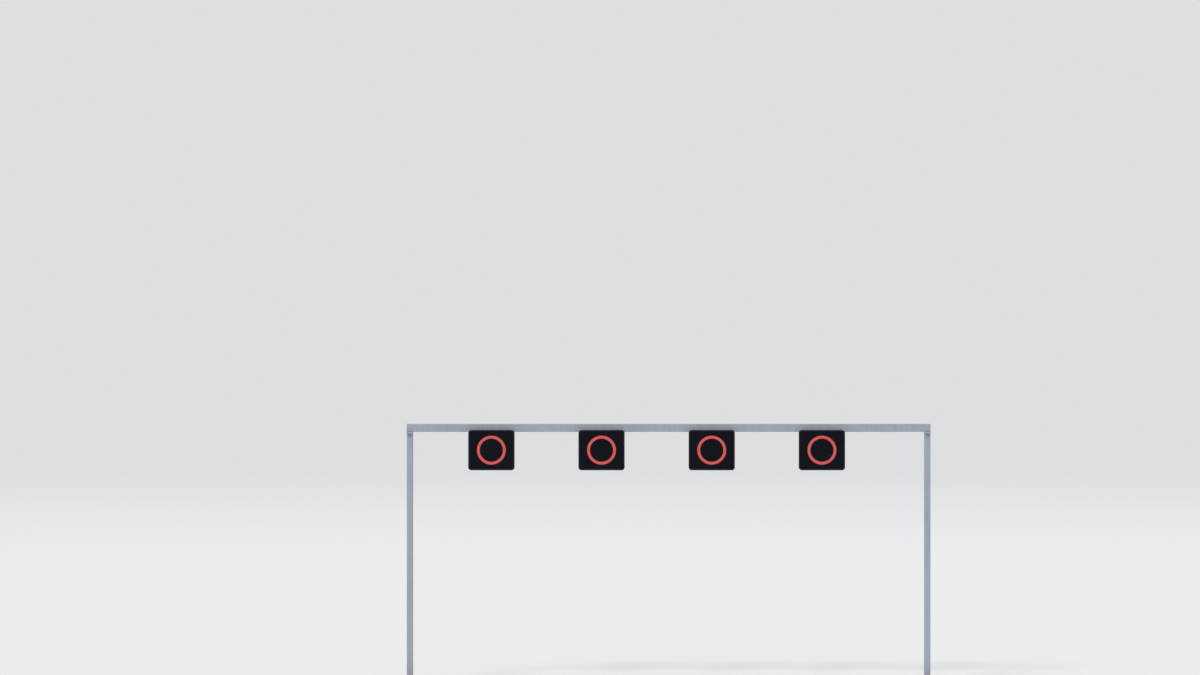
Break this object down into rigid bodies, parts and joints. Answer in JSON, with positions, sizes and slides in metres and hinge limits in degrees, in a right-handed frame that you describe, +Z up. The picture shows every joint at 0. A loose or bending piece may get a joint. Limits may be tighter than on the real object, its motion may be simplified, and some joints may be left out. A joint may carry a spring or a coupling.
{
  "type": "overhead sign gantry",
  "caption": "Steel portal gantry that spans a carriageway: rectangular legs and beam with black lane signs, each with a red light ring, hung under the beam.",
  "frame": {"origin": "on the underside of the left foot plate, as the traffic sees it, on the centre line of that leg", "axes": "+X along the beam, to the right for the traffic that reads the signs; -Y towards that traffic, so the signs face -Y; +Z up"},
  "size_m": [16.96, 0.86, 8.3],
  "materials": {
    "painted_steel": "satin blue-grey paint over galvanised steel",
    "sign_case": "fine-textured near-black powder coat on folded sheet",
    "display_face": "matt near-black display face",
    "red_lens": "lit red lens",
    "bright_fittings": "bright zinc-plated and stainless fittings",
    "gland_body": "black moulded gland"
  },
  "bodies": {
    "root": {"left_base_plate": "painted_steel", "left_base_gussets": "painted_steel", "left_leg": "painted_steel", "right_base_plate": "painted_steel", "right_base_gussets": "painted_steel", "right_leg": "painted_steel", "leg_access_covers": "painted_steel", "leg_top_flanges": "painted_steel", "beam": "painted_steel", "beam_sole_plates": "painted_steel", "beam_end_caps": "painted_steel", "beam_sign_lugs": "painted_steel", "cable_glands": "gland_body", "sign_1_case": "sign_case", "sign_1_front_panel": "display_face", "sign_1_light_ring": "red_lens", "sign_1_rear_door": "sign_case", "sign_1_door_hardware": "bright_fittings", "sign_1_hanger_posts": "painted_steel", "sign_1_hanger_rails": "painted_steel", "sign_1_tilt_brackets": "bright_fittings", "sign_2_case": "sign_case", "sign_2_front_panel": "display_face", "sign_2_light_ring": "red_lens", "sign_2_rear_door": "sign_case", "sign_2_door_hardware": "bright_fittings", "sign_2_hanger_posts": "painted_steel", "sign_2_hanger_rails": "painted_steel", "sign_2_tilt_brackets": "bright_fittings", "sign_3_case": "sign_case", "sign_3_front_panel": "display_face", "sign_3_light_ring": "red_lens", "sign_3_rear_door": "sign_case", "sign_3_door_hardware": "bright_fittings", "sign_3_hanger_posts": "painted_steel", "sign_3_hanger_rails": "painted_steel", "sign_3_tilt_brackets": "bright_fittings", "sign_4_case": "sign_case", "sign_4_front_panel": "display_face", "sign_4_light_ring": "red_lens", "sign_4_rear_door": "sign_case", "sign_4_door_hardware": "bright_fittings", "sign_4_hanger_posts": "painted_steel", "sign_4_hanger_rails": "painted_steel", "sign_4_tilt_brackets": "bright_fittings"}
  },
  "joints": []
}
